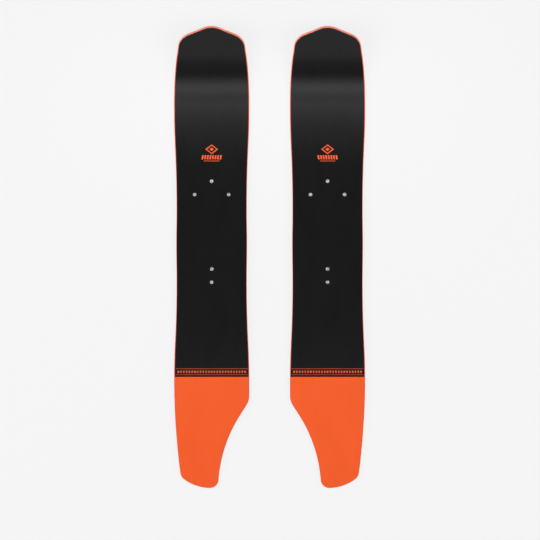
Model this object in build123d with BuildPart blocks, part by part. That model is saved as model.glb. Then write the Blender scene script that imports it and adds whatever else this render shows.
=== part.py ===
from build123d import *
from math import atan, cos, radians, sin, tan
import os

os.makedirs("parts", exist_ok=True)

# Pair of short approach skis, mirror images of each other about the YZ plane.
# +Y runs toward the tips, +Z is up, the running bases rest on Z = 0.
# Every piece is modelled for the left ski and mirrored for the right one.

# ---------------------------------------------------------------- placing
ski_length = 980.0
ski_centre_x = -123.0
tip_y = ski_length / 2
tail_y = -ski_length / 2

# ---------------------------------------------------------------- outline
nose_half = 80.0
nose_widest_y = 318.0
front_waist_half = 74.5
front_waist_y = 100.0
underfoot_half = 75.2
underfoot_y = 30.0
rear_waist_half = 74.5
rear_waist_y = -55.0
tail_half = 79.8
tail_widest_y = -256.0
wide_end_share = 0.37

apex_radius = 42.0
shoulder_angle = 25.0
corner_radius = 36.0
nose_mid_half = 74.1
nose_mid_run = -72.8
straight_rise = 10.0

heel_corner = (79.8, -305.0)
heel_radius = 38.0
cutout_start = (60.0, -336.0)
cutout_heading = (cutout_start[0] - heel_corner[0], cutout_start[1] - heel_corner[1])
tail_inner_corner = (13.9, -488.7)
tail_inner_radius = 18.5
tail_bottom_point = (-26.7, -486.7)
tail_outer_corner = (-65.6, -465.7)
tail_outer_radius = 22.0

# ---------------------------------------------------------------- side profile
bend_start_y = 325.0
soft_bend_radius = 280.0
soft_bend_angle = 11.0
tight_bend_radius = 160.0
nose_angle = 32.0

taper_tail_y = -430.0
full_tail_y = -150.0
full_nose_y = 160.0

# ---------------------------------------------------------------- layers
base_top = 1.3
edge_top = 2.0
rubber_top = 2.4
laminate_top = 2.7
core_top_end = 4.4
core_top_mid = 7.2
glass = 0.6
sheet = 0.6
edge_width = 2.2
anchor_width = 7.0
rail_width = 9.0
sheet_inset = 1.7
waist_relief = 0.9
rim_bevel = 0.8

rail_front_y = 430.0
rail_rear_y = -440.0
panel_front_y = -254.0
nose_sheet_y = bend_start_y

# ---------------------------------------------------------------- inserts
toe_pair_y = 133.0
toe_pair_x = 36.0
toe_front_y = 161.5
heel_centre_y = -39.0
heel_spacing = 28.0
barrel_radius = 3.6
flange_radius = 7.0
flange_height = 0.9
thread_radius = 2.1
insert_floor = 0.7
mouth_chamfer = 0.4
insert_fit = 0.02
cut_overrun = 1.0

# ---------------------------------------------------------------- derived
soft_end_y = bend_start_y + soft_bend_radius * sin(radians(soft_bend_angle))
soft_end_z = soft_bend_radius * (1 - cos(radians(soft_bend_angle)))
tight_end_y = soft_end_y + tight_bend_radius * (
    sin(radians(nose_angle)) - sin(radians(soft_bend_angle))
)
tight_end_z = soft_end_z + tight_bend_radius * (
    cos(radians(soft_bend_angle)) - cos(radians(nose_angle))
)
tip_z = tight_end_z + (tip_y - tight_end_y) * tan(radians(nose_angle))

ground_plane = Plane(origin=(ski_centre_x, 0, 0), x_dir=(1, 0, 0), z_dir=(0, 0, 1))
side_plane = Plane(origin=(ski_centre_x, 0, 0), x_dir=(0, 1, 0), z_dir=(1, 0, 0))
nose_plane = Plane(
    origin=(ski_centre_x, tip_y, tip_z),
    x_dir=(1, 0, 0),
    z_dir=(0, -sin(radians(nose_angle)), cos(radians(nose_angle))),
)

# ---------------------------------------------------------------- helpers
reach = 30.0
slab_half = 95.0
prism_half = 60.0
skin_upward = 0.7
skin_sideways = 0.02


def s_curve(first, last, heading, share=0.5):
    """Two arcs joining points of equal heading; the first spans its share."""
    middle = (
        first[0] + (last[0] - first[0]) * share,
        first[1] + (last[1] - first[1]) * share,
    )
    opening = TangentArc(first, middle, tangent=heading)
    TangentArc(middle, last, tangent=opening % 1)


def surface_line(end_height, mid_height):
    """Draw one layer boundary, tail to tip, and return its two end points."""
    start = (tail_y - reach, end_height)
    tail_taper = (taper_tail_y, end_height)
    tail_full = (full_tail_y, mid_height)
    nose_full = (full_nose_y, mid_height)
    nose_taper = (bend_start_y, end_height)
    level = (1, 0)
    Line(start, tail_taper)
    if mid_height > end_height:
        s_curve(tail_taper, tail_full, level)
        Line(tail_full, nose_full)
        s_curve(nose_full, nose_taper, level)
    else:
        Line(tail_taper, nose_taper)
    CenterArc(
        (bend_start_y, soft_bend_radius),
        soft_bend_radius - end_height,
        -90,
        soft_bend_angle,
    )
    tight_centre = (
        soft_end_y - tight_bend_radius * sin(radians(soft_bend_angle)),
        soft_end_z + tight_bend_radius * cos(radians(soft_bend_angle)),
    )
    tight = CenterArc(
        tight_centre,
        tight_bend_radius - end_height,
        -90 + soft_bend_angle,
        nose_angle - soft_bend_angle,
    )
    run = (tip_y - tight_end_y + reach) / cos(radians(nose_angle))
    ahead = (cos(radians(nose_angle)), sin(radians(nose_angle)))
    last = tight @ 1
    finish = (last.X + run * ahead[0], last.Y + run * ahead[1])
    Line((last.X, last.Y), finish)
    return start, finish


def slab(low_end, low_mid, high_end, high_mid):
    """A layer following the side profile, wider than the ski."""
    with BuildPart() as layer:
        with BuildSketch(side_plane.offset(-slab_half)):
            with BuildLine():
                low_start, low_finish = surface_line(low_end, low_mid)
                high_start, high_finish = surface_line(high_end, high_mid)
                Line(low_start, high_start)
                Line(low_finish, high_finish)
            make_face()
        extrude(amount=2 * slab_half)
    return layer.part


def nose_corners():
    """Apex height, shoulder corner and widest run of the unrounded nose."""
    apex_over = apex_radius * (1 / cos(radians(shoulder_angle)) - 1)
    shoulder_slope = tan(radians(shoulder_angle))
    widest_run = (nose_widest_y - tip_y) * cos(radians(nose_angle))
    widest_run -= (tip_z - straight_rise) * sin(radians(nose_angle))
    narrowing = nose_half - nose_mid_half
    side_slope = tan(2 * atan(narrowing / (nose_mid_run - widest_run)))
    corner_x = nose_mid_half - side_slope * (apex_over - nose_mid_run)
    corner_x /= 1 - side_slope * shoulder_slope
    corner_run = apex_over - corner_x * shoulder_slope
    return apex_over, corner_x, corner_run, widest_run


def nose_outline():
    """Draw the nose in the plane of the raised tip, apex at the origin."""
    apex_over, corner_x, corner_run, widest_run = nose_corners()
    foot_run = widest_run - reach
    for side in (1, -1):
        Line((0, apex_over), (side * corner_x, corner_run))
        Line((side * corner_x, corner_run), (side * nose_mid_half, nose_mid_run))
        TangentArc(
            (side * nose_half, widest_run),
            (side * nose_mid_half, nose_mid_run),
            tangent=(0, 1),
        )
        Line((side * nose_half, widest_run), (side * nose_half, foot_run))
    Line((nose_half, foot_run), (-nose_half, foot_run))


def body_outline(relief):
    """Draw the running length and the cut-away tail, inner side at +X."""
    front_y = nose_widest_y + reach
    sidecut = [
        (nose_half, nose_widest_y),
        (front_waist_half + relief, front_waist_y),
        (underfoot_half + relief, underfoot_y),
        (rear_waist_half + relief, rear_waist_y),
        (tail_half, tail_widest_y),
    ]
    shares = [wide_end_share, 0.5, 0.5, 1 - wide_end_share]
    for side in (1, -1):
        Line((side * nose_half, front_y), (side * nose_half, nose_widest_y))
        for first, last, share in zip(sidecut, sidecut[1:], shares):
            start = (side * first[0], first[1])
            finish = (side * last[0], last[1])
            s_curve(start, finish, (0, -1), share)
    Line((nose_half, front_y), (-nose_half, front_y))
    Line((tail_half, tail_widest_y), heel_corner)
    Line(heel_corner, cutout_start)
    TangentArc(cutout_start, tail_inner_corner, tangent=cutout_heading)
    ThreePointArc(tail_inner_corner, tail_bottom_point, tail_outer_corner)
    TangentArc((-tail_half, tail_widest_y), tail_outer_corner, tangent=(0, -1))


def corners_near(sketch, points):
    """The corner of the sketch closest to each of the given points."""
    return [sketch.vertices().sort_by_distance(point)[0] for point in points]


def planform(inset=0.0, relief=0.0):
    """Upright block with the plan shape, its nose part leaning with the tip."""
    apex_over, corner_x, corner_run, _ = nose_corners()
    shoulders = [(corner_x, corner_run), (-corner_x, corner_run)]
    with BuildSketch() as nose:
        with BuildLine():
            nose_outline()
        make_face()
        if inset:
            offset(amount=-inset, kind=Kind.INTERSECTION)
        fillet(corners_near(nose, [(0, apex_over)]), apex_radius - inset)
        fillet(corners_near(nose, shoulders), corner_radius - inset)
    with BuildSketch() as body:
        with BuildLine():
            body_outline(relief)
        make_face()
        if inset:
            offset(amount=-inset, kind=Kind.INTERSECTION)
        fillet(corners_near(body, [heel_corner]), heel_radius - inset)
        fillet(corners_near(body, [tail_inner_corner]), tail_inner_radius - inset)
        fillet(corners_near(body, [tail_outer_corner]), tail_outer_radius - inset)
    widest_plane = Plane(origin=(0, nose_widest_y, 0), z_dir=(0, 1, 0))
    with BuildPart() as nose_block:
        with BuildSketch(nose_plane.offset(-prism_half)):
            add(nose.sketch)
        extrude(amount=2 * prism_half)
        split(bisect_by=widest_plane, keep=Keep.TOP)
    with BuildPart() as block:
        with BuildSketch(ground_plane.offset(-prism_half)):
            add(body.sketch)
        extrude(amount=2 * prism_half)
        split(bisect_by=widest_plane, keep=Keep.BOTTOM)
        add(nose_block.part)
    return block.part


def length_zone(rear_y, front_y, left_x=-slab_half, right_x=slab_half):
    """Box that keeps one stretch of the ski, sides measured from its centre."""
    with BuildPart() as zone:
        with Locations((ski_centre_x, 0, 0)):
            with Locations(((left_x + right_x) / 2, (rear_y + front_y) / 2, 0)):
                Box(right_x - left_x, front_y - rear_y, 2 * slab_half)
    return zone.part


def seat_pins(positions, radius, low, high):
    """Round pins standing at the insert positions, used to cut their seats."""
    with BuildPart() as pins:
        with BuildSketch(ground_plane.offset(low)):
            with Locations(positions):
                Circle(radius)
        extrude(amount=high - low)
    return pins.part


def upper_rim(builder):
    """The edges running right round the upper skin of the ski."""
    skin = builder.faces().filter_by(
        lambda face: face.normal_at().Z > skin_upward
        and abs(face.normal_at().X) < skin_sideways
    )
    walls = builder.faces() - skin
    return skin.edges() & walls.edges()


def insert_row(positions):
    """Blind threaded inserts, each its own solid."""
    with BuildPart() as row:
        with BuildSketch(ground_plane.offset(laminate_top)):
            with Locations(positions):
                Circle(flange_radius)
        extrude(amount=flange_height)
        with BuildSketch(ground_plane.offset(laminate_top + flange_height)):
            with Locations(positions):
                Circle(barrel_radius)
        extrude(amount=sheet_top_mid - laminate_top - flange_height)
        rims = row.faces().filter_by(Plane.XY).group_by(Axis.Z)[-1].edges()
        chamfer(rims, length=mouth_chamfer / 2)
        with BuildSketch(ground_plane.offset(laminate_top + insert_floor)):
            with Locations(positions):
                Circle(thread_radius)
        extrude(amount=sheet_top_mid, mode=Mode.SUBTRACT)
        mouths = row.faces().filter_by(Plane.XY).group_by(Axis.Z)[-1]
        chamfer(mouths.edges().group_by(SortBy.RADIUS)[0], length=mouth_chamfer)
    return row.part


# ---------------------------------------------------------------- shared shapes
sheet_top_end = core_top_end + glass + sheet
sheet_top_mid = core_top_mid + glass + sheet
glass_top_end = core_top_end + glass
glass_top_mid = core_top_mid + glass

toe_positions = [(0, toe_front_y), (-toe_pair_x, toe_pair_y), (toe_pair_x, toe_pair_y)]
heel_positions = [
    (0, heel_centre_y + heel_spacing / 2),
    (0, heel_centre_y - heel_spacing / 2),
]
all_positions = toe_positions + heel_positions

whole_plan = planform()
edge_plan = planform(edge_width)
anchor_plan = planform(anchor_width)
rail_plan = planform(rail_width)
sheet_plan = planform(sheet_inset, waist_relief)

rail_stretch = length_zone(rail_rear_y, rail_front_y)
inner_half = length_zone(rail_rear_y, rail_front_y, left_x=0)
outer_half = length_zone(rail_rear_y, rail_front_y, right_x=0)
nose_stretch = length_zone(rail_front_y, tip_y + reach)
tail_stretch = length_zone(tail_y - reach, rail_rear_y)

flange_seats = seat_pins(
    all_positions,
    flange_radius + insert_fit,
    laminate_top - cut_overrun,
    laminate_top + flange_height,
)
barrel_seats = seat_pins(
    all_positions,
    barrel_radius + insert_fit,
    laminate_top,
    sheet_top_mid + cut_overrun,
)

# ---------------------------------------------------------------- running base
with BuildPart() as base:
    add(slab(0, 0, base_top, base_top))
    add(edge_plan, mode=Mode.INTERSECT)

# ---------------------------------------------------------------- steel edges
with BuildPart() as edge_ring:
    add(slab(0, 0, edge_top, edge_top))
    add(whole_plan, mode=Mode.INTERSECT)
    add(edge_plan, mode=Mode.SUBTRACT)

with BuildPart() as anchor_ring:
    add(slab(base_top, base_top, edge_top, edge_top))
    add(edge_plan, mode=Mode.INTERSECT)
    add(anchor_plan, mode=Mode.SUBTRACT)

with BuildPart() as edge_inner:
    add(edge_ring.part)
    add(anchor_ring.part)
    add(inner_half, mode=Mode.INTERSECT)

with BuildPart() as edge_outer:
    add(edge_ring.part)
    add(anchor_ring.part)
    add(outer_half, mode=Mode.INTERSECT)

# ---------------------------------------------------------------- edge rubber
with BuildPart() as rubber_ring:
    add(slab(edge_top, edge_top, rubber_top, rubber_top))
    add(whole_plan, mode=Mode.INTERSECT)
    add(anchor_plan, mode=Mode.SUBTRACT)

with BuildPart() as rubber_inner:
    add(rubber_ring.part)
    add(inner_half, mode=Mode.INTERSECT)

with BuildPart() as rubber_outer:
    add(rubber_ring.part)
    add(outer_half, mode=Mode.INTERSECT)

# ---------------------------------------------------------------- lower laminate
with BuildPart() as lower_laminate:
    add(slab(base_top, base_top, laminate_top, laminate_top))
    add(edge_plan, mode=Mode.INTERSECT)
    add(edge_inner.part, mode=Mode.SUBTRACT)
    add(edge_outer.part, mode=Mode.SUBTRACT)
    add(rubber_inner.part, mode=Mode.SUBTRACT)
    add(rubber_outer.part, mode=Mode.SUBTRACT)

# ---------------------------------------------------------------- core
with BuildPart() as core:
    add(slab(laminate_top, laminate_top, core_top_end, core_top_mid))
    add(rail_plan, mode=Mode.INTERSECT)
    add(rail_stretch, mode=Mode.INTERSECT)
    add(flange_seats, mode=Mode.SUBTRACT)
    add(barrel_seats, mode=Mode.SUBTRACT)

# ---------------------------------------------------------------- orange rim
with BuildPart() as rim:
    add(slab(0, 0, core_top_end, core_top_mid))
    add(whole_plan, mode=Mode.INTERSECT)
    chamfer(upper_rim(rim), length=rim_bevel)

with BuildPart() as rail_inner:
    add(rim.part)
    add(inner_half, mode=Mode.INTERSECT)
    add(rail_plan, mode=Mode.SUBTRACT)
    add(base.part, mode=Mode.SUBTRACT)
    add(edge_inner.part, mode=Mode.SUBTRACT)
    add(rubber_inner.part, mode=Mode.SUBTRACT)
    add(lower_laminate.part, mode=Mode.SUBTRACT)

with BuildPart() as rail_outer:
    add(rim.part)
    add(outer_half, mode=Mode.INTERSECT)
    add(rail_plan, mode=Mode.SUBTRACT)
    add(base.part, mode=Mode.SUBTRACT)
    add(edge_outer.part, mode=Mode.SUBTRACT)
    add(rubber_outer.part, mode=Mode.SUBTRACT)
    add(lower_laminate.part, mode=Mode.SUBTRACT)

with BuildPart() as tip_spacer:
    add(rim.part)
    add(nose_stretch, mode=Mode.INTERSECT)
    add(base.part, mode=Mode.SUBTRACT)
    add(lower_laminate.part, mode=Mode.SUBTRACT)

with BuildPart() as tail_spacer:
    add(rim.part)
    add(tail_stretch, mode=Mode.INTERSECT)
    add(base.part, mode=Mode.SUBTRACT)
    add(lower_laminate.part, mode=Mode.SUBTRACT)

# ---------------------------------------------------------------- upper laminate
with BuildPart() as upper_laminate:
    add(slab(core_top_end, core_top_mid, glass_top_end, glass_top_mid))
    add(sheet_plan, mode=Mode.INTERSECT)
    add(barrel_seats, mode=Mode.SUBTRACT)

# ---------------------------------------------------------------- top sheet
with BuildPart() as topsheet:
    add(slab(glass_top_end, glass_top_mid, sheet_top_end, sheet_top_mid))
    add(sheet_plan, mode=Mode.INTERSECT)
    add(length_zone(panel_front_y, nose_sheet_y), mode=Mode.INTERSECT)
    add(barrel_seats, mode=Mode.SUBTRACT)

with BuildPart() as nose_sheet:
    add(slab(glass_top_end, glass_top_mid, sheet_top_end, sheet_top_mid))
    add(sheet_plan, mode=Mode.INTERSECT)
    add(length_zone(nose_sheet_y, tip_y + reach), mode=Mode.INTERSECT)

with BuildPart() as tail_panel:
    add(slab(glass_top_end, glass_top_mid, sheet_top_end, sheet_top_mid))
    add(sheet_plan, mode=Mode.INTERSECT)
    add(length_zone(tail_y - reach, panel_front_y), mode=Mode.INTERSECT)

# ---------------------------------------------------------------- threaded inserts
toe_inserts = insert_row(toe_positions)
heel_inserts = insert_row(heel_positions)

# ---------------------------------------------------------------- both skis
pieces = {
    "base": base.part,
    "edge_inner": edge_inner.part,
    "edge_outer": edge_outer.part,
    "rubber_inner": rubber_inner.part,
    "rubber_outer": rubber_outer.part,
    "lower_laminate": lower_laminate.part,
    "core": core.part,
    "rail_inner": rail_inner.part,
    "rail_outer": rail_outer.part,
    "tip_spacer": tip_spacer.part,
    "tail_spacer": tail_spacer.part,
    "upper_laminate": upper_laminate.part,
    "topsheet": topsheet.part,
    "nose_sheet": nose_sheet.part,
    "tail_panel": tail_panel.part,
    "toe_inserts": toe_inserts,
    "heel_inserts": heel_inserts,
}

for name, piece in pieces.items():
    piece.label = f"left_{name}"
    export_step(piece, f"parts/left_{name}.step")
    with BuildPart() as twin:
        mirror(piece, about=Plane.YZ)
    twin.part.label = f"right_{name}"
    export_step(twin.part, f"parts/right_{name}.step")
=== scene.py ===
import math

import bmesh
import bpy
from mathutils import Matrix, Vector
from mathutils.geometry import delaunay_2d_cdt


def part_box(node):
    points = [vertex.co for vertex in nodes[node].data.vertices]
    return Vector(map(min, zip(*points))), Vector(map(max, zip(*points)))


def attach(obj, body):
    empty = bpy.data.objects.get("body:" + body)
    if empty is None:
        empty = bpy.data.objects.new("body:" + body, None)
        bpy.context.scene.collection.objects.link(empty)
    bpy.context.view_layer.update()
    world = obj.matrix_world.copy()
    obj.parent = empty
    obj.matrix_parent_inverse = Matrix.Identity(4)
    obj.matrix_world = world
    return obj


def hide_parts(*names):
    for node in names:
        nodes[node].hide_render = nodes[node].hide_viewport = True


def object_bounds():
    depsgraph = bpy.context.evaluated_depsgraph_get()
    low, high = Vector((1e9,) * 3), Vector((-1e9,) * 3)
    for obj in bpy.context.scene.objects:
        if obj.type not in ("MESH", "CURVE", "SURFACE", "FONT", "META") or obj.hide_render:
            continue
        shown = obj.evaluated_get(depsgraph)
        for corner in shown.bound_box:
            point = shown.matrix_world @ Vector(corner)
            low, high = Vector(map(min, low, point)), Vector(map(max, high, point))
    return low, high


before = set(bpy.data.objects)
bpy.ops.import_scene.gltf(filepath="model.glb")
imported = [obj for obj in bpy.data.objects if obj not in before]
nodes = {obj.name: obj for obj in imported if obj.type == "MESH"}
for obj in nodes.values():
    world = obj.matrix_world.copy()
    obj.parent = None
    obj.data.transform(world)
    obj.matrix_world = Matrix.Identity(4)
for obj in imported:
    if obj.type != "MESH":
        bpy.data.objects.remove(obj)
cad_low, cad_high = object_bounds()

# Lengths below are in millimetres; MM turns them into Blender's metres.
MM = 0.001
SIDES = {"left": 1, "right": -1}

# ------------------------------------------------------------ driving sizes
ski_centre = (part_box("left_base")[0][0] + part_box("left_base")[1][0]) / 2 / MM
tip_y = cad_high[1] / MM
nose_half, nose_widest_y = 80.0, 318.0
tail_half, tail_widest_y = 79.8, -256.0
front_waist, underfoot, rear_waist = (74.5, 100.0), (75.2, 30.0), (74.5, -55.0)
wide_end_share = 0.37
apex_radius, shoulder_angle, corner_radius = 42.0, math.radians(25), 36.0
nose_mid_half, nose_mid_run, straight_rise = 74.1, -72.8, 10.0
heel_corner, heel_radius = (79.8, -305.0), 38.0
cutout_start = (60.0, -336.0)
tail_inner_corner, tail_inner_radius = (13.9, -488.7), 18.5
tail_bottom_point = (-26.7, -486.7)
tail_outer_corner, tail_outer_radius = (-65.6, -465.7), 22.0

bend_start_y = 325.0
soft_radius, soft_angle = 280.0, math.radians(11)
tight_radius, nose_angle = 160.0, math.radians(32)
taper_tail_y, full_tail_y, full_nose_y = -430.0, -150.0, 160.0
top_end, top_mid = 5.6, 8.4
sheet_thickness = 0.6
sheet_inset, waist_relief = 1.7, 0.9

toe_front_y, toe_pair_y, toe_pair_x = 161.5, 133.0, 36.0
heel_front_y, heel_rear_y = -25.0, -53.0
insert_places = {
    "toe_inserts": [(0, toe_front_y), (-toe_pair_x, toe_pair_y), (toe_pair_x, toe_pair_y)],
    "heel_inserts": [(0, heel_front_y), (0, heel_rear_y)],
}

soft_end_y = bend_start_y + soft_radius * math.sin(soft_angle)
soft_end_z = soft_radius * (1 - math.cos(soft_angle))
tight_end_y = soft_end_y + tight_radius * (math.sin(nose_angle) - math.sin(soft_angle))
tight_end_z = soft_end_z + tight_radius * (math.cos(soft_angle) - math.cos(nose_angle))
tip_z = tight_end_z + (tip_y - tight_end_y) * math.tan(nose_angle)


# Mesh spacing: rows across the ski, columns along it, and the rings round each insert hole.
bend_row, flat_row, column_width = 3.0, 9.0, 12.0
row_lead_in, row_run_out = 10.0, 6.0
shortest_row = 10.0
barrel_radius, insert_fit = 3.6, 0.02
hole_radius, hole_steps = barrel_radius + insert_fit, 40
hole_slack = 0.02
collar_radii = (4.3, 6.0)
collar_clear = 2.0
merge_distance = 1e-5


# ------------------------------------------------------------ ski surface
def underside(q):
    """Height and slope of the running base at station q along the ski."""
    if q <= bend_start_y:
        return 0.0, 0.0
    if q <= soft_end_y:
        slope = math.asin((q - bend_start_y) / soft_radius)
        return soft_radius * (1 - math.cos(slope)), slope
    if q <= tight_end_y:
        slope = math.asin(math.sin(soft_angle) + (q - soft_end_y) / tight_radius)
        return soft_end_z + tight_radius * (math.cos(soft_angle) - math.cos(slope)), slope
    return tight_end_z + (q - tight_end_y) * math.tan(nose_angle), nose_angle


def s_arc(position, first, last, low, high):
    """Two equal tangent arcs climbing from low at first to high at last."""
    run, rise = last - first, high - low
    radius = (run * run + rise * rise) / (4 * abs(rise))
    along = (position - first) / run
    if along <= 0.5:
        near, start, sign = position - first, low, 1
    else:
        near, start, sign = last - position, high, -1
    drop = radius - math.sqrt(radius * radius - near * near)
    return start + math.copysign(drop, rise) * sign


def thickness(q):
    """Full thickness of the ski at station q."""
    if q <= taper_tail_y or q >= bend_start_y:
        return top_end
    if q < full_tail_y:
        return s_arc(q, taper_tail_y, full_tail_y, top_end, top_mid)
    if q <= full_nose_y:
        return top_mid
    return s_arc(q, full_nose_y, bend_start_y, top_mid, top_end)


def on_ski(x, q, height):
    """Point of the left ski at a height above the running base, in metres."""
    lift, slope = underside(q)
    y = q - height * math.sin(slope)
    z = lift + height * math.cos(slope)
    return Vector(((ski_centre + x) * MM, y * MM, z * MM))


def run_of(q):
    """Distance from the tip in the plane of the raised nose."""
    lift, _ = underside(q)
    return (q - tip_y) * math.cos(nose_angle) + (lift - tip_z) * math.sin(nose_angle)


def station_of(run):
    """Station q whose base point lies at a run from the tip."""
    low, high = tail_widest_y, tip_y + 2 * apex_radius
    for _ in range(40):
        middle = (low + high) / 2
        if run_of(middle) < run:
            low = middle
        else:
            high = middle
    return (low + high) / 2


# ------------------------------------------------------------ outline
def arc_points(centre, radius, start, finish, step=3.5):
    """Points along an arc, with the unit vector pointing away from its centre."""
    longest = max(abs(finish - start) * radius / step, abs(finish - start) / math.radians(4))
    count = max(2, math.ceil(longest))
    points = []
    for i in range(count + 1):
        angle = start + (finish - start) * i / count
        away = (math.cos(angle), math.sin(angle))
        points.append(((centre[0] + radius * away[0], centre[1] + radius * away[1]), away))
    return points


def circle_meeting(centre_a, radius_a, centre_b, radius_b, near):
    """The crossing of two circles closest to a point."""
    ax, ay = centre_a
    dx, dy = centre_b[0] - ax, centre_b[1] - ay
    gap = math.hypot(dx, dy)
    along = (radius_a ** 2 - radius_b ** 2 + gap ** 2) / (2 * gap)
    across = math.sqrt(max(radius_a ** 2 - along ** 2, 0))
    options = [
        (ax + (along * dx - side * across * dy) / gap, ay + (along * dy + side * across * dx) / gap)
        for side in (1, -1)
    ]
    return min(options, key=lambda p: math.hypot(p[0] - near[0], p[1] - near[1]))


def arc_from_tangent(start, finish, heading):
    """Centre and radius of the arc that leaves start along heading and reaches finish."""
    length = math.hypot(*heading)
    normal = (-heading[1] / length, heading[0] / length)
    dx, dy = finish[0] - start[0], finish[1] - start[1]
    signed = (dx * dx + dy * dy) / (2 * (dx * normal[0] + dy * normal[1]))
    return (start[0] + normal[0] * signed, start[1] + normal[1] * signed), abs(signed)


def circle_through(a, b, c):
    """Centre and radius of the circle through three points."""
    (ax, ay), (bx, by), (cx, cy) = a, b, c
    twice = 2 * (ax * (by - cy) + bx * (cy - ay) + cx * (ay - by))
    a2, b2, c2 = ax * ax + ay * ay, bx * bx + by * by, cx * cx + cy * cy
    centre = (
        (a2 * (by - cy) + b2 * (cy - ay) + c2 * (ay - by)) / twice,
        (a2 * (cx - bx) + b2 * (ax - cx) + c2 * (bx - ax)) / twice,
    )
    return centre, math.hypot(ax - centre[0], ay - centre[1])


def angle_of(centre, point):
    return math.atan2(point[1] - centre[1], point[0] - centre[0])


def sidecut_half(q):
    """Half width between the two widest stations."""
    corners = [
        (nose_half, nose_widest_y), front_waist, underfoot, rear_waist, (tail_half, tail_widest_y),
    ]
    shares = [wide_end_share, 0.5, 0.5, 1 - wide_end_share]
    for (half_a, y_a), (half_b, y_b), share in zip(corners, corners[1:], shares):
        if q >= y_b:
            along = (y_a - q) / (y_a - y_b)
            if along <= share:
                return half_a + (half_b - half_a) * along * along / share
            return half_b - (half_b - half_a) * (1 - along) ** 2 / (1 - share)
    return tail_half


def nose_side():
    """Half outline of the nose from its widest point to the apex, as (x, run) and normal."""
    widest_run = (nose_widest_y - tip_y) * math.cos(nose_angle)
    widest_run -= (tip_z - straight_rise) * math.sin(nose_angle)
    narrowing = nose_half - nose_mid_half
    lean = 2 * math.atan(narrowing / (nose_mid_run - widest_run))
    apex_over = apex_radius * (1 / math.cos(shoulder_angle) - 1)
    corner_x = nose_mid_half - math.tan(lean) * (apex_over - nose_mid_run)
    corner_x /= 1 - math.tan(lean) * math.tan(shoulder_angle)
    corner_run = apex_over - corner_x * math.tan(shoulder_angle)
    side_radius = (nose_mid_run - widest_run) / math.sin(lean)
    side_centre = (nose_half - side_radius, widest_run)
    points = arc_points(side_centre, side_radius, 0, lean)
    # shoulder arc: tangent to the leaning side and to the sloping shoulder
    turn_start, turn_end = lean, math.pi / 2 - shoulder_angle
    half_turn = (turn_end - turn_start) / 2
    bisector = (turn_start + turn_end) / 2
    back = corner_radius / math.cos(half_turn)
    shoulder_centre = (corner_x - back * math.cos(bisector), corner_run - back * math.sin(bisector))
    shoulder = arc_points(shoulder_centre, corner_radius, turn_start, turn_end)
    points += between(points[-1], shoulder[0]) + shoulder
    apex = arc_points((0, -apex_radius), apex_radius, turn_end, math.pi / 2)
    points += between(points[-1], apex[0]) + apex
    return points


def between(last, first, step=3.5):
    """Evenly spaced points strictly between two outline points on a straight run."""
    (ax, ay), normal = last
    (bx, by), _ = first
    count = int(math.hypot(bx - ax, by - ay) / step)
    return [
        ((ax + (bx - ax) * i / (count + 1), ay + (by - ay) * i / (count + 1)), normal)
        for i in range(1, count + 1)
    ]


def side_run(sign, first_y, last_y, step=4.0):
    """Points of one side between two stations, evenly spaced along the ski."""
    count = math.ceil(abs(last_y - first_y) / step)
    points = []
    for i in range(1, count):
        y = first_y + (last_y - first_y) * i / count
        slope = sidecut_half(y + 0.5) - sidecut_half(y - 0.5)
        length = math.hypot(1, slope)
        points.append(((sign * sidecut_half(y), y), (sign / length, -slope / length)))
    return points


def tail_outline():
    """The cut-away tail from the inner widest point round to the outer one."""
    fall = math.atan2(cutout_start[1] - heel_corner[1], cutout_start[0] - heel_corner[0])
    heel_turn_to = fall + math.pi / 2
    half_turn = heel_turn_to / 2
    back = heel_radius / math.cos(half_turn)
    heel_centre = (
        heel_corner[0] - back * math.cos(half_turn), heel_corner[1] - back * math.sin(half_turn),
    )
    heel = arc_points(heel_centre, heel_radius, 0.0, heel_turn_to)

    heading = (cutout_start[0] - heel_corner[0], cutout_start[1] - heel_corner[1])
    cut_centre, cut_radius = arc_from_tangent(cutout_start, tail_inner_corner, heading)
    end_centre, end_radius = circle_through(tail_inner_corner, tail_bottom_point, tail_outer_corner)
    side_centre, side_radius = arc_from_tangent(
        (-tail_half, tail_widest_y), tail_outer_corner, (0, -1)
    )
    inner_centre = circle_meeting(
        cut_centre, cut_radius + tail_inner_radius,
        end_centre, end_radius - tail_inner_radius, tail_inner_corner,
    )
    outer_centre = circle_meeting(
        end_centre, end_radius - tail_outer_radius,
        side_centre, side_radius - tail_outer_radius, tail_outer_corner,
    )
    cut_from = angle_of(cut_centre, cutout_start)
    cut_to = angle_of(cut_centre, inner_centre)
    cut = [
        (point, (-away[0], -away[1]))
        for point, away in arc_points(cut_centre, cut_radius, cut_from, cut_to)
    ]
    inner_from = angle_of(inner_centre, cut_centre)
    inner_to = angle_of(end_centre, inner_centre)
    if inner_from > 0:
        inner_from -= 2 * math.pi
    inner = arc_points(inner_centre, tail_inner_radius, inner_from, inner_to)
    end_to = angle_of(end_centre, outer_centre)
    end = arc_points(end_centre, end_radius, inner_to, end_to)
    outer_to = angle_of(side_centre, outer_centre)
    outer_to = outer_to - 2 * math.pi if outer_to > 0 else outer_to
    outer = arc_points(outer_centre, tail_outer_radius, end_to, outer_to)
    side = arc_points(side_centre, side_radius, outer_to, -math.pi)
    points = [((tail_half, tail_widest_y), (1, 0))]
    points += between(points[-1], heel[0]) + heel
    points += between(points[-1], cut[0]) + cut[:-1] + inner[:-1] + end[:-1] + outer[:-1] + side
    return points


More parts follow.
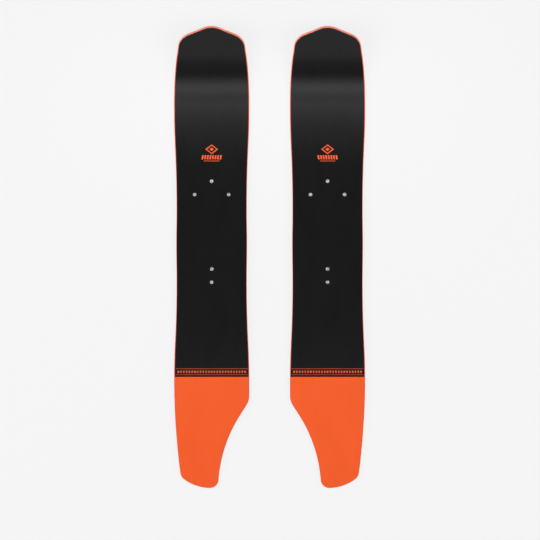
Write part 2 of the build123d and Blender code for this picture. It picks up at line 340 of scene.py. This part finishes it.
def whole_outline():
    """The closed outline of the left ski, clockwise from the inner widest point.

    Each entry is (on_nose, x, y or run, normal x, normal along)."""
    body = side_run(1, nose_widest_y, tail_widest_y) + tail_outline()
    body += side_run(-1, tail_widest_y, nose_widest_y)
    right = nose_side()
    left = [((-point[0], point[1]), (-away[0], away[1])) for point, away in right]
    nose = left + right[-2::-1]
    entries = [(False, *point, *away) for point, away in body]
    entries += [(True, *point, *away) for point, away in nose]
    return entries


OUTLINE = whole_outline()


def relief_at(q):
    """How much nearer to the edge the top sheet reaches along the waist."""
    if q >= nose_widest_y or q <= tail_widest_y:
        return 0.0
    if q > front_waist[1]:
        along = (nose_widest_y - q) / (nose_widest_y - front_waist[1])
    elif q < rear_waist[1]:
        along = (q - tail_widest_y) / (rear_waist[1] - tail_widest_y)
    else:
        return waist_relief
    return waist_relief * along * along * (3 - 2 * along)


def inset_loop(inset):
    """The outline moved inward, as (x, q) pairs."""
    loop = []
    for on_nose, x, along, nx, na in OUTLINE:
        shift = inset if on_nose else inset - relief_at(along)
        moved = along - shift * na
        loop.append((x - shift * nx, station_of(moved) if on_nose else moved))
    return loop


def clipped(loop, low_q, high_q):
    """The part of a loop between two stations, closed by straight cuts."""
    kept = loop
    for limit, keep_above in ((low_q, True), (high_q, False)):
        result = []
        for (ax, aq), (bx, bq) in zip(kept, kept[1:] + kept[:1]):
            a_in = aq >= limit if keep_above else aq <= limit
            b_in = bq >= limit if keep_above else bq <= limit
            if a_in:
                result.append((ax, aq))
            if a_in != b_in:
                share = (limit - aq) / (bq - aq)
                result.append((ax + (bx - ax) * share, limit))
        kept = result
    return kept


# ------------------------------------------------------------ mesh helpers
def finish_mesh(name, bm, side, material, replaced=(), sharp=35):
    """Mirror a left-ski mesh if needed, make the object and hand it to the frame."""
    if SIDES[side] < 0:
        for vert in bm.verts:
            vert.co.x = -vert.co.x
        bmesh.ops.reverse_faces(bm, faces=bm.faces)
    mesh = bpy.data.meshes.new(f"{side}_{name}")
    bm.to_mesh(mesh)
    bm.free()
    mesh.polygons.foreach_set("use_smooth", [True] * len(mesh.polygons))
    mesh.set_sharp_from_angle(angle=math.radians(sharp))
    mesh.materials.append(material)
    piece = bpy.data.objects.new(f"{side}_{name}", mesh)
    bpy.context.scene.collection.objects.link(piece)
    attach(piece, f"{side}_ski")
    if replaced:
        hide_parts(*[f"{side}_{node}" for node in replaced])
    return piece


def row_stations(low_q, high_q):
    """Stations for inner points: close together in the bend, wider elsewhere."""
    stations, q = [], low_q
    while q < high_q:
        stations.append(q)
        q += bend_row if bend_start_y - row_lead_in < q < tight_end_y + row_run_out else flat_row
    return stations[1:]


def crossing_span(loop, q):
    """Where a row across the ski meets the loop."""
    hits = []
    for (ax, aq), (bx, bq) in zip(loop, loop[1:] + loop[:1]):
        if (aq > q) != (bq > q):
            hits.append(ax + (bx - ax) * (q - aq) / (bq - aq))
    return (min(hits), max(hits)) if len(hits) >= 2 else None


def filled(loop, places):
    """Triangulate the inside of a loop, leaving a round hole at each place.

    Returns the points, the faces, and for each point the outline or hole point it came from."""
    points = [Vector(point) for point in loop]
    edges = [(i, (i + 1) % len(loop)) for i in range(len(loop))]
    for px, py in places:
        first = len(points)
        for radius in (hole_radius, *collar_radii):
            for i in range(hole_steps):
                angle = math.tau * i / hole_steps
                points.append(Vector((px + radius * math.cos(angle), py + radius * math.sin(angle))))
        edges += [(first + i, first + (i + 1) % hole_steps) for i in range(hole_steps)]
    marked = len(points)
    stations = [q for _, q in loop]
    for q in row_stations(min(stations), max(stations)):
        span = crossing_span(loop, q)
        if span is None or span[1] - span[0] < shortest_row:
            continue
        count = max(2, round((span[1] - span[0]) / column_width))
        for i in range(1, count):
            x = span[0] + (span[1] - span[0]) * i / count
            if all(math.hypot(x - px, q - py) > collar_radii[-1] + collar_clear for px, py in places):
                points.append(Vector((x, q)))
    verts, _, faces, origins, _, _ = delaunay_2d_cdt(points, edges, [], 1, merge_distance)
    sources = [min(origin) if origin and min(origin) < marked else None for origin in origins]
    kept = []
    for face in faces:
        in_hole = any(
            all(math.hypot(verts[i].x - px, verts[i].y - py) < hole_radius + hole_slack for i in face)
            for px, py in places
        )
        if not in_hole:
            kept.append(face)
    return verts, kept, sources


def sheet_piece(low_q, high_q, places):
    """A closed skin of the top sheet between two stations, with a rounded rim."""
    bm = bmesh.new()
    rim, rim_steps, support = 0.25, 4, 0.35
    layers = [(0.0, 0.0), (0.0, sheet_thickness - rim)]
    for i in range(1, rim_steps + 1):
        turn = math.pi / 2 * i / rim_steps
        layers.append((rim * (1 - math.cos(turn)), sheet_thickness - rim * (1 - math.sin(turn))))
    layers.append((rim + support, sheet_thickness))
    loops = [clipped(inset_loop(sheet_inset + inward), low_q, high_q) for inward, _ in layers]
    count = len(loops[0])
    rings = [
        [bm.verts.new(on_ski(x, q, thickness(q) - sheet_thickness + up)) for x, q in loop]
        for loop, (_, up) in zip(loops, layers)
    ]
    for lower, upper in zip(rings, rings[1:]):
        for i in range(count):
            j = (i + 1) % count
            bm.faces.new((lower[i], upper[i], upper[j], lower[j]))
    hole_walls = []
    underneath = (rings[0], loops[0], 0.0, True)
    on_top = (rings[-1], loops[-1], sheet_thickness, False)
    for ring, loop, up, flip in (underneath, on_top):
        verts, faces, sources = filled(loop, places)
        made = []
        walls = {}
        for vert, source in zip(verts, sources):
            if source is not None and source < count:
                made.append(ring[source])
                continue
            height = thickness(vert.y) - sheet_thickness + up
            made.append(bm.verts.new(on_ski(vert.x, vert.y, height)))
            if source is not None:
                walls[source - count] = made[-1]
        for face in faces:
            corners = [made[i] for i in face]
            bm.faces.new(corners[::-1] if flip else corners)
        hole_walls.append(walls)
    low_wall, high_wall = hole_walls
    per_place = hole_steps * (1 + len(collar_radii))
    for place in range(len(places)):
        for i in range(hole_steps):
            a = place * per_place + i
            b = place * per_place + (i + 1) % hole_steps
            bm.faces.new((low_wall[a], low_wall[b], high_wall[b], high_wall[a]))
    loose = [vert for vert in bm.verts if not vert.link_faces]
    bmesh.ops.delete(bm, geom=loose, context="VERTS")
    bmesh.ops.recalc_face_normals(bm, faces=bm.faces)
    return bm


# ------------------------------------------------------------ node helpers
class Nodes:
    """Short calls for building one material's node tree."""

    def __init__(self, name):
        self.material = bpy.data.materials.new(name)
        self.material.use_nodes = True
        self.tree = self.material.node_tree
        self.shader = self.tree.nodes["Principled BSDF"]
        self.place = self.tree.nodes.new("ShaderNodeTexCoord").outputs["Object"]

    def link(self, source, target):
        self.tree.links.new(source, target)

    def scaled(self, factors):
        """Object coordinates stretched by a factor on each axis."""
        node = self.tree.nodes.new("ShaderNodeMapping")
        node.inputs["Scale"].default_value = factors
        self.link(self.place, node.inputs["Vector"])
        return node.outputs["Vector"]

    def noise(self, factors, detail=2.0, roughness=0.5):
        node = self.tree.nodes.new("ShaderNodeTexNoise")
        node.inputs["Scale"].default_value = 1.0
        node.inputs["Detail"].default_value = detail
        node.inputs["Roughness"].default_value = roughness
        self.link(self.scaled(factors), node.inputs["Vector"])
        return node.outputs["Fac"]

    def waves(self, factors, distortion=0.0, detail=0.0, direction="X"):
        node = self.tree.nodes.new("ShaderNodeTexWave")
        node.bands_direction = direction
        node.inputs["Scale"].default_value = 1.0
        node.inputs["Distortion"].default_value = distortion
        node.inputs["Detail"].default_value = detail
        self.link(self.scaled(factors), node.inputs["Vector"])
        return node.outputs["Fac"]

    def ramp(self, source, stops):
        node = self.tree.nodes.new("ShaderNodeValToRGB")
        elements = node.color_ramp.elements
        while len(elements) < len(stops):
            elements.new(0.5)
        for element, (position, colour) in zip(elements, stops):
            element.position = position
            element.color = (*colour, 1)
        self.link(source, node.inputs["Fac"])
        return node.outputs["Color"]

    def spread(self, source, low, high):
        """Map a 0 to 1 value onto a range."""
        node = self.tree.nodes.new("ShaderNodeMapRange")
        node.inputs["To Min"].default_value = low
        node.inputs["To Max"].default_value = high
        self.link(source, node.inputs["Value"])
        return node.outputs["Result"]

    def maths(self, operation, first, second):
        node = self.tree.nodes.new("ShaderNodeMath")
        node.operation = operation
        for socket, value in zip(node.inputs, (first, second)):
            if isinstance(value, (int, float)):
                socket.default_value = value
            else:
                self.link(value, socket)
        return node.outputs["Value"]

    def bump(self, source, depth, strength=1.0, under=None):
        node = self.tree.nodes.new("ShaderNodeBump")
        node.inputs["Distance"].default_value = depth
        node.inputs["Strength"].default_value = strength
        self.link(source, node.inputs["Height"])
        if under is not None:
            self.link(under, node.inputs["Normal"])
        return node.outputs["Normal"]

    def set(self, **values):
        names = {"base": "Base Color", "metal": "Metallic", "rough": "Roughness", "ior": "IOR",
                 "normal": "Normal", "coat": "Coat Weight", "aniso": "Anisotropic"}
        for key, value in values.items():
            socket = self.shader.inputs[names[key]]
            if isinstance(value, bpy.types.NodeSocket):
                self.link(value, socket)
            else:
                socket.default_value = (*value, 1) if isinstance(value, tuple) else value
        return self.material


# ------------------------------------------------------------ materials
def black_sheet_material():
    """Satin black top sheet: fine pressed grain and faint cloudy sheen changes."""
    n = Nodes("black_topsheet_satin")
    grain = n.noise((2600, 2600, 2600), 3)
    cloud = n.noise((26, 9, 26), 3)
    tone = n.ramp(cloud, [(0.3, (0.0016, 0.0016, 0.0017)), (0.7, (0.0024, 0.0024, 0.0026))])
    mixed = n.maths("ADD", n.maths("MULTIPLY", grain, 0.5), n.maths("MULTIPLY", cloud, 0.5))
    rough = n.spread(mixed, 0.25, 0.31)
    normal = n.bump(grain, 0.00002, 0.35)
    return n.set(base=tone, rough=rough, normal=normal, ior=1.32)


def orange_sheet_material():
    """Orange top sheet over the tail, same grain as the black part."""
    n = Nodes("orange_topsheet_satin")
    grain = n.noise((2600, 2600, 2600), 3)
    cloud = n.noise((22, 9, 22), 3)
    tone = n.ramp(cloud, [(0.3, (0.756, 0.0803, 0.0062)), (0.7, (0.787, 0.0855, 0.0084))])
    rough = n.spread(grain, 0.34, 0.44)
    return n.set(base=tone, rough=rough, normal=n.bump(grain, 0.00002, 0.3), ior=1.4)


def orange_rail_material(name, low, high, coat):
    """Machined orange ABS: long cutter streaks and slightly scuffed patches."""
    n = Nodes(name)
    streaks = n.noise((1400, 12, 1400), 4, 0.6)
    scuff = n.noise((60, 24, 60), 4)
    tone = n.ramp(scuff, [(0.25, low), (0.75, high)])
    rough = n.spread(streaks, 0.22, 0.42)
    return n.set(base=tone, rough=rough, normal=n.bump(streaks, 0.00003, 0.5), ior=1.5, coat=coat)


def steel_edge_material():
    """Ground steel edge: fine lengthwise file marks and a little dulling."""
    n = Nodes("edge_steel_ground")
    marks = n.noise((3000, 40, 3000), 4, 0.65)
    dull = n.noise((40, 18, 40), 3)
    tone = n.ramp(dull, [(0.3, (0.42, 0.43, 0.45)), (0.7, (0.62, 0.63, 0.65))])
    rough = n.spread(marks, 0.22, 0.42)
    return n.set(base=tone, metal=1.0, rough=rough, normal=n.bump(marks, 0.00002, 0.6), aniso=0.4)


def base_material():
    """Sintered polyethylene base: carbon specks and a stone-ground structure."""
    n = Nodes("base_stone_ground")
    structure = n.waves((1100, 60, 1100), 3.0, 2.0)
    cross = n.noise((900, 90, 900), 4, 0.6)
    specks = n.noise((1800, 1800, 1800), 2)
    tone = n.ramp(specks, [(0.35, (0.010, 0.010, 0.011)), (0.7, (0.020, 0.020, 0.022))])
    rough = n.spread(cross, 0.34, 0.5)
    normal = n.bump(structure, 0.00003, 0.5, n.bump(cross, 0.00003, 0.4))
    return n.set(base=tone, rough=rough, normal=normal, ior=1.5)


def laminate_material():
    """Glass fibre in epoxy: pale green weave."""
    n = Nodes("glass_laminate_weave")
    warp = n.waves((3200, 3200, 3200), 0.4)
    weft = n.waves((3200, 3200, 3200), 0.4, direction="Y")
    weave = n.maths("MULTIPLY", warp, weft)
    tone = n.ramp(weave, [(0.1, (0.34, 0.38, 0.26)), (0.9, (0.58, 0.62, 0.48))])
    return n.set(base=tone, rough=n.spread(weave, 0.3, 0.5), normal=n.bump(weave, 0.00003, 0.5))


def rubber_material():
    """Vibration rubber strip over the steel edge."""
    n = Nodes("edge_rubber_matte")
    grain = n.noise((1500, 1500, 1500), 3)
    tone = n.ramp(grain, [(0.3, (0.014, 0.014, 0.014)), (0.7, (0.028, 0.028, 0.028))])
    return n.set(base=tone, rough=n.spread(grain, 0.65, 0.85), normal=n.bump(grain, 0.00003, 0.5))


def wood_material():
    """Core of glued lengthwise strips with fine grain."""
    n = Nodes("core_wood_strips")
    strips = n.waves((62, 0, 0))
    grain = n.noise((900, 14, 900), 5, 0.6)
    mixed = n.maths("ADD", n.maths("MULTIPLY", strips, 0.45), n.maths("MULTIPLY", grain, 0.55))
    tone = n.ramp(mixed, [(0.25, (0.42, 0.27, 0.14)), (0.75, (0.72, 0.55, 0.35))])
    return n.set(base=tone, rough=n.spread(grain, 0.55, 0.75), normal=n.bump(grain, 0.00004, 0.5))


def insert_material():
    """Turned stainless steel with faint tool rings and handling marks."""
    n = Nodes("insert_steel_turned")
    marks = n.noise((4200, 4200, 900), 4, 0.6)
    tone = n.ramp(marks, [(0.3, (0.70, 0.70, 0.71)), (0.7, (0.84, 0.84, 0.85))])
    return n.set(base=tone, metal=1.0, rough=n.spread(marks, 0.24, 0.40),
                 normal=n.bump(marks, 0.00001, 0.5))


def ink_material():
    """Orange screen-printed ink with a slightly uneven film."""
    n = Nodes("orange_ink_print")
    film = n.noise((1600, 1600, 1600), 3)
    tone = n.ramp(film, [(0.3, (0.69, 0.078, 0.010)), (0.7, (0.75, 0.088, 0.014))])
    return n.set(base=tone, rough=n.spread(film, 0.38, 0.52), normal=n.bump(film, 0.00002, 0.4))


black_sheet = black_sheet_material()
orange_sheet = orange_sheet_material()
orange_rail = orange_rail_material(
    "orange_abs_machined", low=(0.76, 0.090, 0.022), high=(0.83, 0.112, 0.032), coat=0.0)
# The tip spacer's paler salmon orange is painted highlight: a lighter copy of the rail orange that
# stands in for bright light reflected off the raised tip's end face.
tip_abs_painted_highlight = orange_rail_material(
    "orange_abs_tip_painted_highlight", low=(0.77, 0.150, 0.085), high=(0.83, 0.185, 0.110), coat=0.8)
steel_edge = steel_edge_material()
base_finish = base_material()
laminate = laminate_material()
rubber = rubber_material()
wood = wood_material()
insert_steel = insert_material()
ink = ink_material()

node_finish = {
    "base": base_finish, "edge_inner": steel_edge, "edge_outer": steel_edge,
    "rubber_inner": rubber, "rubber_outer": rubber, "lower_laminate": laminate, "core": wood,
    "rail_inner": orange_rail, "rail_outer": orange_rail, "tip_spacer": tip_abs_painted_highlight,
    "tail_spacer": orange_rail, "upper_laminate": laminate,
    "topsheet": black_sheet, "nose_sheet": black_sheet,
    "tail_panel": orange_sheet, "toe_inserts": insert_steel, "heel_inserts": insert_steel,
}
for side in SIDES:
    for node, finish in node_finish.items():
        for material_slot in nodes[f"{side}_{node}"].material_slots:
            material_slot.material = finish


# ------------------------------------------------------------ top skins
panel_front_y = -254.0
past_ends = 600.0
for side in SIDES:
    screw_places = insert_places["toe_inserts"] + insert_places["heel_inserts"]
    sheet = sheet_piece(panel_front_y, past_ends, screw_places)
    finish_mesh("topsheet_skin", sheet, side, black_sheet,
                replaced=["topsheet", "nose_sheet"])
    panel = sheet_piece(-past_ends, panel_front_y, [])
    finish_mesh("tail_panel_skin", panel, side, orange_sheet,
                replaced=["tail_panel"])


# ------------------------------------------------------------ inserts
thread_radius = 2.1


def insert_profile():
    """Radius and height pairs of one insert from the bore bottom out to the flange."""
    bore, mouth, barrel, flange = thread_radius, 0.4, barrel_radius, 7.0
    floor_z, flange_z, flange_top = 3.85, 2.7, 3.6
    top = top_mid
    drill_cone = 1.0
    profile = [(0.0, floor_z - drill_cone), (bore - 0.15, floor_z), (bore - 0.05, floor_z + 0.1)]
    thread_rows = 40
    thread_from, thread_to = floor_z + 0.25, top - mouth
    profile += [
        ("thread", thread_from + (thread_to - thread_from) * i / thread_rows)
        for i in range(thread_rows + 1)
    ]
    ring_in, ring_out = bore + mouth, barrel - 0.25
    profile += [(ring_in, top - 0.02), (ring_in + 0.12, top)]
    grooves = 3
    for i in range(grooves):
        r = ring_in + 0.12 + (ring_out - ring_in - 0.12) * (i + 0.5) / grooves
        profile += [(r - 0.09, top), (r, top - 0.03), (r + 0.09, top)]
    profile += [(ring_out, top), (barrel - 0.07, top - 0.07), (barrel, top - 0.25),
                (barrel, flange_top), (flange - 0.2, flange_top), (flange, flange_top - 0.2),
                (flange, flange_z), (0.0, flange_z)]
    return profile


def insert_bodies(places):
    """Threaded inserts standing at the given places of the left ski."""
    bm = bmesh.new()
    steps = 48
    pitch, thread_depth = 0.8, 0.36
    profile = insert_profile()
    for px, py in places:
        rings = []
        for radius, z in profile:
            if radius == 0.0:
                rings.append([bm.verts.new(on_ski(px, py, z))] * steps)
                continue
            ring = []
            for i in range(steps):
                turn = i / steps
                r = radius
                if radius == "thread":
                    phase = (z / pitch - turn) % 1
                    r = thread_radius + thread_depth * (1 - abs(2 * phase - 1))
                angle = math.tau * turn
                ring.append(bm.verts.new(on_ski(px + r * math.cos(angle), py + r * math.sin(angle), z)))
            rings.append(ring)
        for inner, outer in zip(rings, rings[1:]):
            for i in range(steps):
                j = (i + 1) % steps
                corners = []
                for vert in (inner[i], outer[i], outer[j], inner[j]):
                    if vert not in corners:
                        corners.append(vert)
                bm.faces.new(corners)
    bmesh.ops.recalc_face_normals(bm, faces=bm.faces)
    return bm


for side in SIDES:
    for node, places in insert_places.items():
        finish_mesh(f"{node}_threaded", insert_bodies(places), side, insert_steel,
                    replaced=[node], sharp=40)


# ------------------------------------------------------------ printed marks
ink_sink, ink_rise, ink_step = 0.03, 0.07, 4.0
weld_distance = 1e-6


def add_print(bm, polygon):
    """A thin slab of ink over a convex polygon lying on the top sheet, given as (x, y)."""
    ys = [y for _, y in polygon]
    steps = max(1, math.ceil((max(ys) - min(ys)) / ink_step))
    made = []
    for i in range(steps):
        low = min(ys) + (max(ys) - min(ys)) * i / steps
        high = min(ys) + (max(ys) - min(ys)) * (i + 1) / steps
        strip = clipped(polygon, low, high)
        if len(strip) < 3:
            continue
        bottom = [bm.verts.new(on_ski(x, y, thickness(y) - ink_sink)) for x, y in strip]
        top = [bm.verts.new(on_ski(x, y, thickness(y) + ink_rise)) for x, y in strip]
        made += bottom + top
        bm.faces.new(bottom[::-1])
        bm.faces.new(top)
        for a, b in zip(range(len(strip)), list(range(1, len(strip))) + [0]):
            on_cut = strip[a][1] == strip[b][1] and strip[a][1] not in (min(ys), max(ys))
            if not on_cut:
                bm.faces.new((bottom[a], bottom[b], top[b], top[a]))
    bmesh.ops.remove_doubles(bm, verts=made, dist=weld_distance)


def bar(x0, x1, y0, y1, slant=0.0):
    """Corners of an upright bar whose far end leans sideways by slant."""
    return [(x0, y0), (x1, y0), (x1 + slant, y1), (x0 + slant, y1)]


def diamond(x, y, half_x, half_y):
    """Corners of a diamond about a centre."""
    return [(x - half_x, y), (x, y - half_y), (x + half_x, y), (x, y + half_y)]


def emblem():
    """Diamond frame over a row of slanted bars and a fine broken line."""
    bm = bmesh.new()
    mark_y, half_x, half_y, stroke = 229.2, 13.5, 10.3, 2.6
    outer = diamond(0, mark_y, half_x, half_y)
    inner = diamond(0, mark_y, half_x - stroke * 1.3, half_y - stroke)
    for i in range(4):
        j = (i + 1) % 4
        add_print(bm, [outer[i], outer[j], inner[j], inner[i]])
    dot_half_x, dot_half_y = 4.6, 3.6
    add_print(bm, diamond(0, mark_y, dot_half_x, dot_half_y))
    bars, bar_width, pitch, slant = 8, 3.3, 5.5, 1.6
    row_low, row_high = 207.7, 216.7
    first = -(bars - 1) * pitch / 2 - bar_width / 2 - slant / 2
    for i in range(bars):
        x = first + pitch * i
        add_print(bm, bar(x, x + bar_width, row_low, row_high, slant))
    dashes, dash_width, dash_pitch = 9, 2.4, 3.7
    dash_low, dash_high = 203.5, 205.1
    for i in range(dashes):
        x = (i - (dashes - 1) / 2) * dash_pitch
        add_print(bm, bar(x - dash_width / 2, x + dash_width / 2, dash_low, dash_high))
    return bm


def band():
    """Two fine lines across the ski with a row of small marks between them."""
    bm = bmesh.new()
    line_half, line_width = 76.2, 0.65
    line_front_y, line_rear_y = -236.9, -249.7
    for y in (line_front_y, line_rear_y):
        add_print(bm, bar(-line_half, line_half, y, y + line_width))
    marks, row_half = 25, 71.0
    diamond_every, diamond_y, diamond_half_x, diamond_half_y = 6, -243.2, 2.6, 3.1
    bar_left, bar_right, bar_low, bar_high, slant = -1.7, 0.9, -245.8, -240.6, 0.8
    pitch = 2 * row_half / (marks - 1)
    for i in range(marks):
        x = (i - (marks - 1) / 2) * pitch
        if i % diamond_every == 0:
            add_print(bm, diamond(x, diamond_y, diamond_half_x, diamond_half_y))
        else:
            add_print(bm, bar(x + bar_left, x + bar_right, bar_low, bar_high, slant))
    return bm


for side in SIDES:
    finish_mesh("emblem_print", emblem(), side, ink)
    finish_mesh("band_print", band(), side, ink)


# ------------------------------------------------------------ floor
pale_grey = 0.913
floor_half_m, floor_drop_m = 60, 0.0004


def make_floor():
    """Pale studio floor whose edge fades into the background."""
    n = Nodes("studio_floor")
    tree = n.tree
    tree.nodes.remove(n.shader)
    glow = tree.nodes.new("ShaderNodeEmission")
    glow.inputs["Color"].default_value = (pale_grey, pale_grey, pale_grey, 1)
    glow.inputs["Strength"].default_value = 0.872
    paint = tree.nodes.new("ShaderNodeBsdfDiffuse")
    paint.inputs["Color"].default_value = (0.10, 0.10, 0.10, 1)
    both = tree.nodes.new("ShaderNodeAddShader")
    n.link(glow.outputs[0], both.inputs[0])
    n.link(paint.outputs[0], both.inputs[1])
    n.link(both.outputs[0], tree.nodes["Material Output"].inputs["Surface"])
    bm = bmesh.new()
    bmesh.ops.create_grid(bm, x_segments=1, y_segments=1, size=floor_half_m)
    mesh = bpy.data.meshes.new("studio_floor")
    bm.to_mesh(mesh)
    bm.free()
    mesh.materials.append(n.material)
    floor = bpy.data.objects.new("studio_floor", mesh)
    floor.location.z = -floor_drop_m
    bpy.context.scene.collection.objects.link(floor)


make_floor()


# ------------------------------------------------------------ light
def soft_box(name, position, target, size, power):
    """A rectangular studio light aimed at a point, unseen by the camera."""
    data = bpy.data.lights.new(name, "AREA")
    data.shape = "RECTANGLE"
    data.size, data.size_y = size
    data.energy = power
    light = bpy.data.objects.new(name, data)
    light.location = position
    aim = Vector(target) - Vector(position)
    light.rotation_euler = aim.to_track_quat("-Z", "Y").to_euler()
    light.visible_camera = False
    bpy.context.scene.collection.objects.link(light)


def make_world():
    """Studio surround: bright near the floor line, dimmer overhead."""
    world = bpy.data.worlds.new("studio_surround")
    world.use_nodes = True
    tree = world.node_tree
    backdrop = tree.nodes["Background"]
    place = tree.nodes.new("ShaderNodeTexCoord")
    split = tree.nodes.new("ShaderNodeSeparateXYZ")
    ramp = tree.nodes.new("ShaderNodeValToRGB")
    tree.links.new(place.outputs["Generated"], split.inputs["Vector"])
    tree.links.new(split.outputs["Z"], ramp.inputs["Fac"])
    tree.links.new(ramp.outputs["Color"], backdrop.inputs["Color"])
    stops = [
        (0.0, pale_grey), (0.30, pale_grey), (0.48, 0.80), (0.70, 0.40), (0.9, 0.10), (1.0, 0.06),
    ]
    elements = ramp.color_ramp.elements
    while len(elements) < len(stops):
        elements.new(0.5)
    for element, (position, value) in zip(elements, stops):
        element.position = position
        element.color = (value, value, value, 1)
    bpy.context.scene.world = world


make_world()
soft_box("key_left", (-2.4, -0.2, 2.2), (0, 0, 0), (1.6, 2.4), 61)
soft_box("key_right", (2.4, -0.2, 2.2), (0, 0, 0), (1.6, 2.4), 51)
soft_box("front_fill", (0.0, -3.6, 1.9), (0, 0.4, 0), (3.0, 1.0), 3.4)
soft_box("nose_sheen", (0.0, -4.4, 20.0), (0, 0.35, 0), (4.0, 1.6), 205)
soft_box("nose_sheen_low", (0.0, -5.8, 20.0), (0, 0.35, 0), (4.0, 1.6), 33)
soft_box("nose_glow", (0.0, 0.36, 0.30), (0, 0.3, 0), (0.8, 0.06), 0.47)
soft_box("nose_glow_high", (0.0, 0.36, 0.80), (0, 0.3, 0), (0.8, 0.1), 0.25)

# ------------------------------------------------------------ camera
view_width = 1.1463
view_centre = Vector((0.0008, -0.0271, 0.004))
camera_height = 30.0
camera_data = bpy.data.cameras.new("camera")
camera_data.sensor_width = 36.0
camera_data.lens = camera_data.sensor_width * camera_height / view_width
camera_data.clip_end = 200.0
camera = bpy.data.objects.new("camera", camera_data)
camera.location = view_centre + Vector((0, 0, camera_height))
bpy.context.scene.collection.objects.link(camera)
bpy.context.scene.camera = camera
bpy.context.scene.view_settings.view_transform = "Standard"
